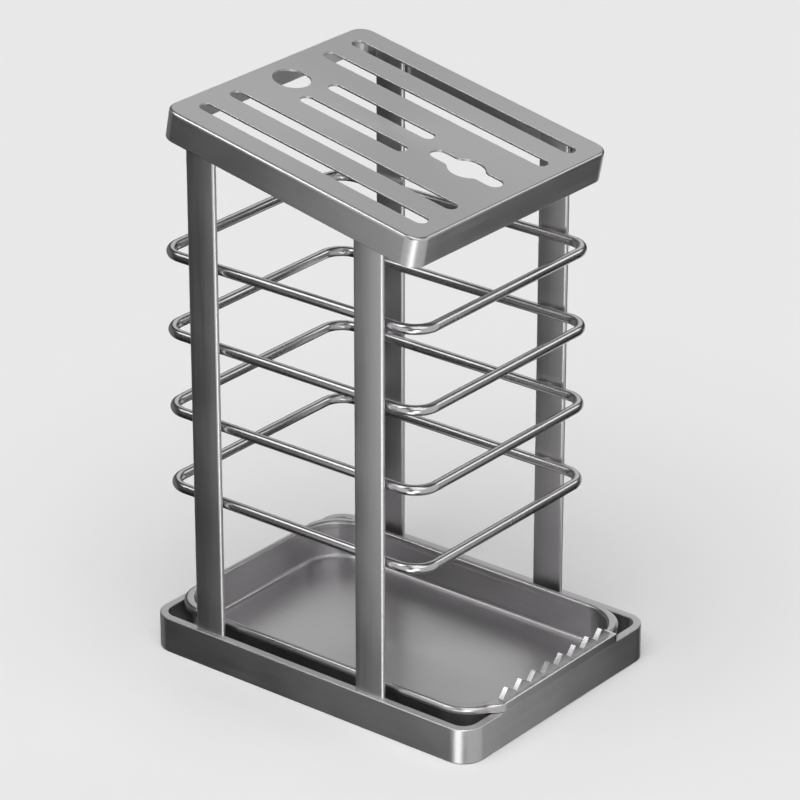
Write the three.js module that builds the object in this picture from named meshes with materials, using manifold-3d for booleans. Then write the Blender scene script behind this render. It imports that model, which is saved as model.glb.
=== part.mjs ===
// A free-standing stainless steel rack for kitchen knives and tools, with a drip tray that
// lifts out. Millimetres, +Z up. +X runs along the long side, towards the low end of the
// sloping top, and +Y runs towards the back. The origin is at the middle of the base, on the
// surface that the rack stands on.

import * as THREE from 'three';
import { mergeVertices } from 'three/addons/utils/BufferGeometryUtils.js';
import Module from 'manifold-3d';

const wasm = await Module();
wasm.setup();

// Overall sizes
const baseLength = 155;
const baseWidth = 115;
const overallHeight = 225;

// Seats and cuts
const weldGap = 0.3;
const cutOverrun = 1;
const cornerSteps = 6;
const bendSteps = 3;

// Base band: a flat bar on edge, bent to a rounded rectangle
const bandHeight = 14.4;
const bandThickness = 3.4;
const bandCornerRadius = 9;
const bandEdgeBreak = 0.4;

// Sloping top: a pressed sheet with a folded skirt
const topLength = 120.6;
const topSlope = THREE.MathUtils.degToRad(10.9);
const topSheet = 0.9;
const topSkirtDepth = 11.9;
const topCornerRadius = 6.5;
const topFoldRadius = 1.2;
const topLowEndSetback = 23.5;

// Openings in the top, measured up the slope from its low end, down from its high end and out
// from its centre line
const slotWidth = 5.8;
const longSlotLowMargin = 7.3;
const longSlotHighMargin = 7.1;
const outerSlotRow = 43.8;
const middleSlotRow = 26.9;
const shortSlotLowMargin = 45.7;
const shortSlotHighMargin = 25.2;
const innerSlotRow = 8.1;
const roundHoleRadius = 7.3;
const roundHoleInset = 13.4;
const scissorSlotLength = 32;
const scissorSlotWidth = 7.2;
const scissorSlotStart = 7.7;
const scissorBulgeRadius = 7.2;
const scissorBlendRadius = 2.5;

// Posts: flat bars that stand on the band and reach up inside the skirt
const postWidth = 13.5;
const postThickness = 2.5;
const postEdgeBreak = 0.4;
const postSpacing = 78.3;
const rightPostInset = 24.1;

// Wire rings: round wire bent to rounded rectangles and welded inside the posts
const wireRadius = 2;
const wireSides = 12;
const ringLength = 126;
const ringInset = 2;
const ringCornerRadius = 9;
const ringCount = 4;
const lowestRingHeight = 69.5;
const highestRingDrop = 37.8;

// Drip tray: a pressed sheet tray with a rolled rim that hangs on the ends of the band
const traySheet = 0.8;
const trayUndersideHeight = 1;
const trayBendRadius = 2;
const trayCornerRadius = 15.5;
const trayRimReachOverBand = 1.1;
const trayRimToPost = 3.8;
const trayRimHeight = 3.1;
const trayRimOverhang = 1.7;
const trayRimBulge = 0.4;
const trayRimOuterRound = 1.1;
const trayRimInnerRound = 0.6;
const trayRimUnderRound = 0.5;

// Toothed lip: a strip on the tray's right end that hooks over the band
const lipLength = 70;
const lipEdgeRound = 0.5;
const toothCount = 8;
const toothPitch = 8.4;
const toothHeight = 3.9;
const toothRiseShare = 0.4;
const toothValleyLift = 0.3;
const toothWallThickness = 2.2;
const toothWallSetback = 2.2;

// Places that follow from the sizes above
const halfBaseLength = baseLength / 2;
const halfBaseWidth = baseWidth / 2;
const topLowEndX = halfBaseLength - topLowEndSetback;
const topFoldDrop = topFoldRadius * (1 - Math.cos(topSlope));
const topRise = (topLength - topFoldRadius) * Math.sin(topSlope);
const topLowEndHeight = overallHeight - topRise - topFoldDrop;
const highestRingHeight = topLowEndHeight - highestRingDrop;
const ringPitch = (highestRingHeight - lowestRingHeight) / (ringCount - 1);
const postOuterFace = halfBaseWidth - topSheet - weldGap;
const postInnerFace = postOuterFace - postThickness;
const rightPostX = topLowEndX - rightPostInset;
const leftPostX = rightPostX - postSpacing;
const bandInnerHalfLength = halfBaseLength - bandThickness;
const trayRimUnderside = bandHeight + weldGap;
const trayRimTop = trayRimUnderside + trayRimHeight;
const trayRimHalfLength = bandInnerHalfLength + trayRimReachOverBand;
const trayRimHalfWidth = postInnerFace - trayRimToPost;
const trayRimReach = trayRimOverhang + traySheet + trayRimBulge;
const lipInnerFace = trayRimHalfLength - trayRimReach;

const finishes = {
  band: new THREE.MeshStandardMaterial({ color: 0x8f8d8e, roughness: 0.38, metalness: 1 }),
  post: new THREE.MeshStandardMaterial({ color: 0x9a9899, roughness: 0.36, metalness: 1 }),
  top: new THREE.MeshStandardMaterial({ color: 0xa4a2a3, roughness: 0.42, metalness: 1 }),
  wire: new THREE.MeshStandardMaterial({ color: 0xb9b7b8, roughness: 0.18, metalness: 1 }),
  tray: new THREE.MeshStandardMaterial({ color: 0x9c9a9b, roughness: 0.34, metalness: 1 }),
};

// Points of a rounded rectangle about the origin, anticlockwise, with no point repeated
function roundedRectangle(halfLength, halfWidth, radius) {
  const shape = new THREE.Shape();
  const x = halfLength - radius;
  const y = halfWidth - radius;
  shape.absarc(x, y, radius, 0, Math.PI / 2);
  shape.absarc(-x, y, radius, Math.PI / 2, Math.PI);
  shape.absarc(-x, -y, radius, Math.PI, Math.PI * 1.5);
  shape.absarc(x, -y, radius, Math.PI * 1.5, Math.PI * 2);
  return shape.getPoints(cornerSteps).slice(0, -1);
}

// A rounded rectangle at one height, drawn in by inset from the size given
function level(size, inset, height) {
  return {
    points: roundedRectangle(size.halfLength - inset, size.halfWidth - inset, size.radius - inset),
    height,
  };
}

// Levels along a quarter bend in a section, from one angle to another about its centre
function bendLevels(size, centreInset, centreHeight, radius, startAngle, endAngle) {
  const levels = [];
  for (let step = 0; step <= bendSteps; step += 1) {
    const angle = THREE.MathUtils.lerp(startAngle, endAngle, step / bendSteps);
    const inset = centreInset - radius * Math.cos(angle);
    levels.push(level(size, inset, centreHeight + radius * Math.sin(angle)));
  }
  return levels;
}

// A closed skin over stacked levels, which follow the section with the metal on their left.
// A looped skin joins its last level to its first; any other is capped at both ends.
function skin(levels, looped) {
  const count = levels[0].points.length;
  const positions = [];
  for (const { points, height } of levels) {
    for (const point of points) {
      positions.push(point.x, point.y, height);
    }
  }
  const indices = [];
  const bands = looped ? levels.length : levels.length - 1;
  for (let row = 0; row < bands; row += 1) {
    const here = row * count;
    const next = ((row + 1) % levels.length) * count;
    for (let i = 0; i < count; i += 1) {
      const j = (i + 1) % count;
      indices.push(here + i, here + j, next + j);
      indices.push(here + i, next + j, next + i);
    }
  }
  if (!looped) {
    const last = (levels.length - 1) * count;
    for (const [a, b, c] of THREE.ShapeUtils.triangulateShape(levels[0].points, [])) {
      indices.push(c, b, a);
      indices.push(last + a, last + b, last + c);
    }
  }
  const geometry = new THREE.BufferGeometry();
  geometry.setAttribute('position', new THREE.Float32BufferAttribute(positions, 3));
  geometry.setIndex(indices);
  return geometry;
}

function toSolid(geometry) {
  const bare = geometry.clone();
  bare.deleteAttribute('normal');
  bare.deleteAttribute('uv');
  const merged = mergeVertices(bare);
  return new wasm.Manifold(new wasm.Mesh({
    numProp: 3,
    vertProperties: new Float32Array(merged.attributes.position.array),
    triVerts: new Uint32Array(merged.index.array),
  }));
}

function fromSolid(solid) {
  const mesh = solid.getMesh();
  const geometry = new THREE.BufferGeometry();
  geometry.setAttribute('position', new THREE.BufferAttribute(mesh.vertProperties, 3));
  geometry.setIndex(new THREE.BufferAttribute(mesh.triVerts, 1));
  return geometry;
}

function namedMesh(name, geometry, material) {
  geometry.computeVertexNormals();
  const mesh = new THREE.Mesh(geometry, material);
  mesh.name = name;
  return mesh;
}

// Base band

function makeBand() {
  const size = {
    halfLength: halfBaseLength,
    halfWidth: halfBaseWidth,
    radius: bandCornerRadius,
  };
  const innerEdge = bandThickness - bandEdgeBreak;
  const upperEdge = bandHeight - bandEdgeBreak;
  const levels = [
    level(size, bandEdgeBreak, 0),
    level(size, 0, bandEdgeBreak),
    level(size, 0, upperEdge),
    level(size, bandEdgeBreak, bandHeight),
    level(size, innerEdge, bandHeight),
    level(size, bandThickness, upperEdge),
    level(size, bandThickness, bandEdgeBreak),
    level(size, innerEdge, 0),
  ];
  return namedMesh('base_band', skin(levels, true), finishes.band);
}

// Posts

// Height of the top's underside, straight above a place along the base
function topUndersideAt(x) {
  return topLowEndHeight + (topLowEndX - x) * Math.tan(topSlope) - topSheet / Math.cos(topSlope);
}

function makePost(name, centreX, side) {
  const left = centreX - postWidth / 2;
  const right = centreX + postWidth / 2;
  const foot = bandHeight + weldGap;
  const outline = new THREE.Shape([
    new THREE.Vector2(left, foot),
    new THREE.Vector2(right, foot),
    new THREE.Vector2(right, topUndersideAt(right) - weldGap),
    new THREE.Vector2(left, topUndersideAt(left) - weldGap),
  ]);
  const depth = postThickness - 2 * postEdgeBreak;
  const geometry = new THREE.ExtrudeGeometry(outline, {
    depth,
    bevelThickness: postEdgeBreak,
    bevelSize: postEdgeBreak,
    bevelOffset: -postEdgeBreak,
    bevelSegments: 1,
  });
  geometry.translate(0, 0, -depth / 2);
  const mesh = namedMesh(name, geometry, finishes.post);
  mesh.rotation.x = Math.PI / 2;
  mesh.position.y = side * (postInnerFace + postOuterFace) / 2;
  return mesh;
}

// Wire rings

function makeRing(name, height) {
  const halfLength = ringLength / 2;
  const size = {
    halfLength,
    halfWidth: postInnerFace - weldGap,
    radius: ringCornerRadius + wireRadius,
  };
  const levels = [];
  for (let side = 0; side < wireSides; side += 1) {
    const angle = (side / wireSides) * Math.PI * 2;
    const inset = wireRadius * (1 - Math.cos(angle));
    levels.push(level(size, inset, wireRadius * Math.sin(angle)));
  }
  const mesh = namedMesh(name, skin(levels, true), finishes.wire);
  mesh.position.set(topLowEndX - ringInset - halfLength, 0, height);
  return mesh;
}

// Sloping top, drawn level with its low end at x = 0 and its upper face at z = 0

// A cutter that runs through the sheet, from an outline drawn on the upper face
function throughCut(shape) {
  const geometry = new THREE.ExtrudeGeometry(shape, {
    depth: topSheet + 2 * cutOverrun,
    bevelEnabled: false,
    curveSegments: cornerSteps * 2,
  });
  geometry.translate(0, 0, -topSheet - cutOverrun);
  return toSolid(geometry);
}

// A straight slot along the slope, between a margin at each end of the top
function slotShape(row, lowMargin, highMargin) {
  const radius = slotWidth / 2;
  const shape = new THREE.Shape();
  shape.absarc(-lowMargin - radius, row, radius, -Math.PI / 2, Math.PI / 2);
  shape.absarc(highMargin + radius - topLength, row, radius, Math.PI / 2, Math.PI * 1.5);
  return shape;
}

// The scissors slot: a straight slot with a round bulge at its middle, blended at the joins
function scissorShape() {
  const radius = scissorSlotWidth / 2;
  const middle = -scissorSlotStart - scissorSlotLength / 2;
  const reach = scissorBulgeRadius + scissorBlendRadius;
  const rise = radius + scissorBlendRadius;
  const blendX = Math.sqrt(reach * reach - rise * rise);
  const lean = Math.atan2(rise, blendX);
  const shape = new THREE.Shape();
  shape.absarc(-scissorSlotStart - radius, 0, radius, -Math.PI / 2, Math.PI / 2);
  shape.absarc(middle + blendX, rise, scissorBlendRadius, -Math.PI / 2, lean - Math.PI, true);
  shape.absarc(middle, 0, scissorBulgeRadius, lean, Math.PI - lean);
  shape.absarc(middle - blendX, rise, scissorBlendRadius, -lean, -Math.PI / 2, true);
  shape.absarc(-scissorSlotStart - scissorSlotLength + radius, 0, radius, Math.PI / 2, Math.PI * 1.5);
  shape.absarc(middle - blendX, -rise, scissorBlendRadius, Math.PI / 2, lean, true);
  shape.absarc(middle, 0, scissorBulgeRadius, Math.PI + lean, Math.PI * 2 - lean);
  shape.absarc(middle + blendX, -rise, scissorBlendRadius, Math.PI - lean, Math.PI / 2, true);
  return shape;
}

function topCuts() {
  const shapes = [scissorShape()];
  const hole = new THREE.Shape();
  hole.absarc(roundHoleInset - topLength, 0, roundHoleRadius, 0, Math.PI * 2);
  shapes.push(hole);
  for (const side of [-1, 1]) {
    shapes.push(slotShape(side * outerSlotRow, longSlotLowMargin, longSlotHighMargin));
    shapes.push(slotShape(side * middleSlotRow, longSlotLowMargin, longSlotHighMargin));
    shapes.push(slotShape(side * innerSlotRow, shortSlotLowMargin, shortSlotHighMargin));
  }
  return shapes.map(throughCut);
}

function makeTop() {
  const size = {
    halfLength: topLength / 2,
    halfWidth: halfBaseWidth,
    radius: topCornerRadius,
  };
  const levels = [
    level(size, topSheet, -topSheet),
    level(size, topSheet, -topSkirtDepth),
    level(size, 0, -topSkirtDepth),
    ...bendLevels(size, topFoldRadius, -topFoldRadius, topFoldRadius, 0, Math.PI / 2),
  ];
  const geometry = skin(levels, false);
  geometry.translate(-topLength / 2, 0, 0);
  const solid = topCuts().reduce((body, cut) => body.subtract(cut), toSolid(geometry));
  const slope = new THREE.Group();
  slope.position.set(topLowEndX, 0, topLowEndHeight);
  slope.rotation.y = topSlope;
  slope.add(namedMesh('top_plate', fromSolid(solid), finishes.top));
  return slope;
}

// Drip tray

// The part of the rim that the toothed lip takes the place of
function lipSeat() {
  const length = trayRimHalfLength + cutOverrun - lipInnerFace + weldGap;
  const height = trayRimTop + cutOverrun - bandHeight;
  const box = new THREE.BoxGeometry(length, lipLength + 2 * weldGap, height);
  box.translate(lipInnerFace - weldGap + length / 2, 0, bandHeight + height / 2);
  return toSolid(box);
}

function makeTray() {
  const size = {
    halfLength: trayRimHalfLength,
    halfWidth: trayRimHalfWidth,
    radius: trayCornerRadius,
  };
  const outerWall = trayRimOverhang;
  const innerWall = trayRimOverhang + traySheet;
  const floorTop = trayUndersideHeight + traySheet;
  const outerBend = trayBendRadius + traySheet;
  const underRound = trayRimUnderRound;
  const quarter = Math.PI / 2;
  const levels = [
    ...bendLevels(size, outerWall + outerBend, trayUndersideHeight + outerBend, outerBend, -quarter, 0),
    level(size, outerWall, trayRimUnderside),
    ...bendLevels(size, underRound, trayRimUnderside + underRound, underRound, -quarter, 0),
    ...bendLevels(size, trayRimOuterRound, trayRimTop - trayRimOuterRound, trayRimOuterRound, 0, quarter),
    ...bendLevels(
      size, trayRimReach - trayRimInnerRound, trayRimTop - trayRimInnerRound, trayRimInnerRound,
      quarter, Math.PI,
    ),
    level(size, trayRimReach, trayRimUnderside + trayRimBulge),
    level(size, innerWall, trayRimUnderside),
    ...bendLevels(size, innerWall + trayBendRadius, floorTop + trayBendRadius, trayBendRadius, 0, -quarter),
  ];
  const solid = toSolid(skin(levels, false)).subtract(lipSeat());
  return namedMesh('drip_tray', fromSolid(solid), finishes.tray);
}

// Toothed lip

function makeLip() {
  const section = new THREE.Shape([
    new THREE.Vector2(lipInnerFace, trayRimUnderside),
    new THREE.Vector2(halfBaseLength, trayRimUnderside),
    new THREE.Vector2(halfBaseLength, trayRimTop - lipEdgeRound),
    new THREE.Vector2(halfBaseLength - lipEdgeRound, trayRimTop),
    new THREE.Vector2(lipInnerFace + lipEdgeRound, trayRimTop),
    new THREE.Vector2(lipInnerFace, trayRimTop - lipEdgeRound),
  ]);
  const bar = new THREE.ExtrudeGeometry(section, { depth: lipLength, bevelEnabled: false });
  bar.rotateX(Math.PI / 2);
  bar.translate(0, lipLength / 2, 0);

  const firstValley = (-toothCount * toothPitch) / 2;
  const valleyHeight = trayRimTop + toothValleyLift;
  const root = trayRimTop - lipEdgeRound;
  const profile = [new THREE.Vector2(firstValley, root)];
  for (let tooth = 0; tooth < toothCount; tooth += 1) {
    const start = firstValley + tooth * toothPitch;
    profile.push(new THREE.Vector2(start, valleyHeight));
    profile.push(new THREE.Vector2(start + toothPitch * toothRiseShare, trayRimTop + toothHeight));
  }
  profile.push(new THREE.Vector2(-firstValley, valleyHeight));
  profile.push(new THREE.Vector2(-firstValley, root));
  profile.reverse();
  const teeth = new THREE.ExtrudeGeometry(new THREE.Shape(profile), {
    depth: toothWallThickness,
    bevelEnabled: false,
  });
  teeth.rotateX(Math.PI / 2);
  teeth.rotateZ(Math.PI / 2);
  teeth.translate(halfBaseLength - toothWallSetback - toothWallThickness, 0, 0);
  const solid = toSolid(bar).add(toSolid(teeth));
  return namedMesh('tray_toothed_lip', fromSolid(solid), finishes.tray);
}

const rack = new THREE.Group();
rack.add(makeBand());
rack.add(makePost('post_front_left', leftPostX, -1));
rack.add(makePost('post_front_right', rightPostX, -1));
rack.add(makePost('post_back_left', leftPostX, 1));
rack.add(makePost('post_back_right', rightPostX, 1));
for (let ring = 0; ring < ringCount; ring += 1) {
  rack.add(makeRing(`wire_ring_${ring + 1}`, lowestRingHeight + ring * ringPitch));
}
rack.add(makeTop());

const tray = new THREE.Group();
tray.add(makeTray());
tray.add(makeLip());

const assembly = new THREE.Group();
assembly.add(rack);
assembly.add(tray);

export default assembly;
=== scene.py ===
"""A free-standing stainless knife holder rack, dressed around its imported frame.

The rack is a flat bar bent into a base band, four flat posts, four rings of round wire and a
pressed top that slopes down to the right. A drip tray hangs on the ends of the band by its
rolled rim, and its toothed lip hooks over the right end. Lengths are in metres, +X runs along
the long side towards the low end of the top, +Y to the back and +Z up, with the origin at the
middle of the base on the surface that the rack stands on.
"""

import logging
import math
from dataclasses import dataclass
from enum import Enum
from typing import Callable, Mapping, Sequence

import bmesh
import bpy
from mathutils import Matrix, Vector
from mathutils.geometry import tessellate_polygon


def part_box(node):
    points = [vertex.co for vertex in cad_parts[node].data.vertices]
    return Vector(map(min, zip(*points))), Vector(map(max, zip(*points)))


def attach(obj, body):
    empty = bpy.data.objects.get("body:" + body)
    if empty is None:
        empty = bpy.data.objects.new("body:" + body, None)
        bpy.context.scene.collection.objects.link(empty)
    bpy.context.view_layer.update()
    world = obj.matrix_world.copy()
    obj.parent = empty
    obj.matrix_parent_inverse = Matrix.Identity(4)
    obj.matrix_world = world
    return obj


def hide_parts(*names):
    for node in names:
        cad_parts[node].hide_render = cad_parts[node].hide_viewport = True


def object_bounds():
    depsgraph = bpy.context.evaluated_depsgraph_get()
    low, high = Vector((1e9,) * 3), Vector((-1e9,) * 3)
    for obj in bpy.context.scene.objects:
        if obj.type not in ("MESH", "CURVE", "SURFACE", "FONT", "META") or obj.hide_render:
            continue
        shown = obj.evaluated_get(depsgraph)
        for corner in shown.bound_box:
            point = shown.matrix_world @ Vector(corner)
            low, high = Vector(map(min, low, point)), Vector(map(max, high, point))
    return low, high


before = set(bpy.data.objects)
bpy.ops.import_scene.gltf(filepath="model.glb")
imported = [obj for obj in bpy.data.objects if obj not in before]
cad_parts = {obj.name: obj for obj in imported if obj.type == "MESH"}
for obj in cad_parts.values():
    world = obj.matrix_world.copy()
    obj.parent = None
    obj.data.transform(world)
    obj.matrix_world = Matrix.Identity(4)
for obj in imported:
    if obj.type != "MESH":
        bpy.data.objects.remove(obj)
CAD_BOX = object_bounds()

LOG = logging.getLogger("knife_rack")
MM = 0.001
QUARTER_TURN = math.pi / 2
TOP_SLOPE = math.radians(10.9)
POST_PLACES = ("front_left", "front_right", "back_left", "back_right")

# How deep the brush lines are.
FAINT_LINES = 0.001 * MM
FINE_LINES = 0.002 * MM
CLEAR_LINES = 0.003 * MM
# Points closer than this are made one, and points that have to stay apart are a least step apart.
MERGE_DISTANCE = 0.001 * MM
LEAST_STEP = 2 * MERGE_DISTANCE
# How far a direction may be off the axis that it is taken to lie along.
DIRECTION_SLACK = 1e-6
# How much more a flat sheet's faces count in the shading of a point that they share with a round.
PLATE_WEIGHT = 1e6
# The mark of each point that tells the finish how far it is on an edge, and the rounds between
# which it goes from 0 to 1.
EDGE_MARK = "edge"
SOFT_EDGE_RADIUS = 1.8 * MM
HARD_EDGE_RADIUS = 0.6 * MM

Socket = bpy.types.NodeSocket
Pair = tuple[float, float]
SectionPoint = Pair
Section = Sequence[SectionPoint]
PointRows = Sequence[Sequence[Vector]]
IndexRows = list[list[int]]
Inputs = Mapping[str | int, object]


class Body(Enum):
    """The two bodies of the rack, by their names in the frame."""

    RACK = "rack"
    TRAY = "tray"


class Grain(Enum):
    """The way a surface was brushed, as the pattern's stretch along X, Y and Z."""

    LEVEL = (40.0, 40.0, 1.0)
    LENGTHWAYS = (40.0, 1.0, 1.0)
    UPRIGHT = (1.0, 1.0, 50.0)
    NONE = (1.0, 1.0, 1.0)


class NodeSheet:
    """Adds linked nodes to the tree of a material or of the world."""

    def __init__(self, owner: bpy.types.Material | bpy.types.World) -> None:
        """Starts from an empty tree.

        Args:
            owner: The material or the world whose nodes are made.
        """
        owner.use_nodes = True
        self.tree = owner.node_tree
        self.tree.nodes.clear()

    def add(self, kind: str, inputs: Inputs | None = None, **settings: object) -> bpy.types.Node:
        """Adds one node.

        Args:
            kind: The node's type, without its ShaderNode prefix.
            inputs: What its inputs get, by name or number: constants, or outputs to link.
            **settings: Properties of the node, by name.

        Returns:
            The new node.
        """
        node = self.tree.nodes.new("ShaderNode" + kind)
        for name, value in settings.items():
            setattr(node, name, value)
        for key, value in (inputs or {}).items():
            if isinstance(value, Socket):
                self.tree.links.new(value, node.inputs[key])
            else:
                node.inputs[key].default_value = value
        return node

    def math(self, operation: str, *values: object) -> Socket:
        """Works out one sum of constants or outputs, named as the Math node has it."""
        return self.add("Math", dict(enumerate(values)), operation=operation).outputs["Value"]

    def mix(self, first: Socket, second: Socket, share: float) -> Socket:
        """Mixes two numbers, with a share of the second in the mix."""
        return self.math("MULTIPLY_ADD", first, 1.0 - share, self.math("MULTIPLY", second, share))

    def noise(self, place: Socket, scale: float, detail: float) -> Socket:
        """Adds a noise from 0 to 1, by its repeats in each metre and its finer octaves."""
        inputs = {"Vector": place, "Scale": scale, "Detail": detail}
        return self.add("TexNoise", inputs).outputs["Fac"]

    def spread(self, value: Socket, old: Pair, new: Pair) -> Socket:
        """Maps one range to another, eased and held at its ends.

        Args:
            value: The number that is mapped.
            old: The ends of its range.
            new: What the ends become.

        Returns:
            The mapped number's socket.
        """
        inputs = {
            "Value": value,
            "From Min": old[0],
            "From Max": old[1],
            "To Min": new[0],
            "To Max": new[1],
        }
        return self.add("MapRange", inputs, interpolation_type="SMOOTHSTEP").outputs["Result"]


@dataclass(frozen=True)
class SteelFinish:
    """Stainless steel with brush lines, faint clouding, and edge wear with painted highlight.

    The brush lines are two noises stretched along the grain, a fine one and a broader one. The
    clouds are the slow change of tone that handling leaves. Lines and clouds together are the
    marks, which change the tone and the roughness by up to their swing, and the lines alone
    give the bump. On the edges the metal has been rubbed smoother, and its colour is brighter,
    partly as rubbed wear and partly as a painted highlight.
    """

    name: str
    grain: Grain
    tone: tuple[float, float, float] = (0.60, 0.59, 0.60)
    roughness: float = 0.38
    roughness_swing: float = 0.04
    tone_swing: float = 0.06
    grain_scale: float = 2600.0
    grain_detail: float = 3.0
    grain_depth: float = CLEAR_LINES
    streak_scale_share: float = 0.3
    streak_detail: float = 2.0
    streak_share: float = 0.5
    cloud_scale: float = 38.0
    cloud_detail: float = 2.0
    cloud_share: float = 0.4
    mark_range: Pair = (0.3, 0.7)
    # How much brighter the colour is on edges: partly rubbed wear, partly a painted highlight.
    edge_wear_and_highlight: float = 0.25
    edge_gloss: float = 0.12
    anisotropy: float = 0.38
    tangent_axis: str = "Z"
    tangent_turn: float = 0.25
    tilt: float = 0.0

    def material(self) -> bpy.types.Material:
        """Builds the finish.

        Returns:
            The finished material.
        """
        made = bpy.data.materials.new(self.name)
        sheet = NodeSheet(made)
        place = sheet.add("TexCoord").outputs["Object"]
        stretch = {"Vector": place, "Rotation": (0.0, self.tilt, 0.0), "Scale": self.grain.value}
        along = sheet.add("Mapping", stretch, vector_type="TEXTURE").outputs["Vector"]
        fine = sheet.noise(along, self.grain_scale, self.grain_detail)
        streaks = sheet.noise(along, self.grain_scale * self.streak_scale_share, self.streak_detail)
        lines = sheet.mix(fine, streaks, self.streak_share)
        clouds = sheet.noise(place, self.cloud_scale, self.cloud_detail)
        marks = sheet.mix(lines, clouds, self.cloud_share)
        edge = sheet.add("Attribute", attribute_name=EDGE_MARK).outputs["Fac"]

        tones = (1.0 - self.tone_swing, 1.0 + self.tone_swing)
        shade = sheet.spread(marks, self.mark_range, tones)
        # Edges get a brighter colour: partly rubbed wear, partly a painted highlight.
        shade = sheet.math("MULTIPLY_ADD", edge, self.edge_wear_and_highlight, shade)
        colour = sheet.add("VectorMath", {0: self.tone, "Scale": shade}, operation="SCALE")
        roughs = (self.roughness - self.roughness_swing, self.roughness + self.roughness_swing)
        rough = sheet.spread(marks, self.mark_range, roughs)
        bump = sheet.add("Bump", {"Strength": 1.0, "Distance": self.grain_depth, "Height": lines})
        inputs = {
            "Metallic": 1.0,
            "Base Color": colour.outputs["Vector"],
            "Roughness": sheet.math("MULTIPLY_ADD", edge, -self.edge_gloss, rough),
            "Normal": bump.outputs["Normal"],
            "Anisotropic": self.anisotropy,
            "Anisotropic Rotation": self.tangent_turn,
        }
        if self.anisotropy:
            tangent = sheet.add("Tangent", direction_type="RADIAL", axis=self.tangent_axis)
            inputs["Tangent"] = tangent.outputs["Tangent"]
        steel = sheet.add("BsdfPrincipled", inputs)
        sheet.add("OutputMaterial", {"Surface": steel.outputs["BSDF"]})
        return made


@dataclass(frozen=True)
class Station:
    """A point of an outline in plan, with its outward direction."""

    x: float
    y: float
    out_x: float
    out_y: float

    def at(self, inset: float, height: float) -> Vector:
        """Gives the point drawn in from the outline by inset, at a height."""
        return Vector((self.x - self.out_x * inset, self.y - self.out_y * inset, height))

    def beside(self, run: float) -> "Station":
        """Gives the station a run further along a straight side, anticlockwise."""
        return Station(self.x - self.out_y * run, self.y + self.out_x * run, self.out_x, self.out_y)

    def is_right(self) -> bool:
        """Tells whether it lies on the outline's right side, which faces +X."""
        return self.out_x > 1 - DIRECTION_SLACK


@dataclass(frozen=True)
class Corner:
    """A corner of a section: how far in, how high, and the radius that rounds it."""

    inset: float
    height: float
    radius: float = 0.0


def arc(centre: Pair, radius: float, start: float, end: float, steps: int) -> list[Station]:
    """Draws an arc of an outline. A negative radius gives a hollow one.

    Args:
        centre: The arc's centre in plan.
        radius: Its radius, negative where the outline bends inwards.
        start: The outward direction's angle at its start.
        end: The outward direction's angle at its end.
        steps: Straight steps along it.

    Returns:
        Stations along the arc, both ends included.
    """
    stations = []
    for step in range(steps + 1):
        angle = start + (end - start) * step / steps
        out_x = math.cos(angle)
        out_y = math.sin(angle)
        stations.append(
            Station(centre[0] + radius * out_x, centre[1] + radius * out_y, out_x, out_y)
        )
    return stations


def eased(share: float) -> float:
    """Eases a share that goes from 0 to 1, so that it sets off and arrives without a kink."""
    return share * share * (3 - 2 * share)


def rounded_rectangle(
    half_length: float,
    half_width: float,
    radius: float,
    middle_x: float = 0.0,
    right_marks: Sequence[float] = (),
    runs: Sequence[float] = (),
    steps: int = 14,
) -> list[Station]:
    """Draws a rounded rectangle anticlockwise, with its right side last.

    Args:
        half_length: Half its length along X.
        half_width: Half its width along Y.
        radius: The radius of its corners.
        middle_x: Where its middle lies along X.
        right_marks: Further places along its right side.
        runs: How far beside each corner its sides have further stations.
        steps: Steps in each corner.

    Returns:
        The outline's stations, with none repeated.
    """
    x = half_length - radius
    y = half_width - radius
    stations = []
    for number, (corner_x, corner_y) in enumerate(((x, y), (-x, y), (-x, -y), (x, -y))):
        start = number * QUARTER_TURN
        bend = arc((middle_x + corner_x, corner_y), radius, start, start + QUARTER_TURN, steps)
        stations += [bend[0].beside(-run) for run in reversed(runs)]
        stations += bend
        stations += [bend[-1].beside(run) for run in runs]
    stations += [Station(middle_x + half_length, mark, 1.0, 0.0) for mark in right_marks]
    right = [station for station in stations if station.is_right()]
    others = [station for station in stations if not station.is_right()]
    return others + sorted(right, key=lambda station: station.y)


def rounded_section(corners: Sequence[Corner], looped: bool, steps: int = 5) -> list[SectionPoint]:
    """Rounds the corners of a section.

    Args:
        corners: The section's corners in order.
        looped: Whether the last corner joins the first.
        steps: Steps in each rounded corner.

    Returns:
        The section's points. A corner with no radius stays one point.
    """
    points = []
    count = len(corners)
    for number, corner in enumerate(corners):
        at_end = not looped and number in (0, count - 1)
        if at_end or not corner.radius:
            points.append((corner.inset, corner.height))
            continue
        here = Vector((corner.inset, corner.height))
        before = corners[number - 1]
        after = corners[(number + 1) % count]
        back = (Vector((before.inset, before.height)) - here).normalized()
        ahead = (Vector((after.inset, after.height)) - here).normalized()
        half = back.angle(ahead) / 2
        centre = here + (back + ahead).normalized() * (corner.radius / math.sin(half))
        reach = corner.radius / math.tan(half)
        first = (here + back * reach - centre).normalized()
        last = (here + ahead * reach - centre).normalized()
        for step in range(steps + 1):
            turned = first.slerp(last, step / steps) * corner.radius
            points.append(tuple(centre + turned))
    return points


def point_normal(point: bmesh.types.BMVert, plate: bmesh.types.BMLayerItem) -> Vector:
    """Works out a point's outward direction, for its shading.

    Args:
        point: A point of the mesh.
        plate: The layer that marks the faces of flat sheets.

    Returns:
        The direction, which follows the flat sheet where the point is on one.
    """
    total = Vector()
    for face in point.link_faces:
        total += face.normal * face.calc_area() * (PLATE_WEIGHT if face[plate] else 1.0)
    return total.normalized()


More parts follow.
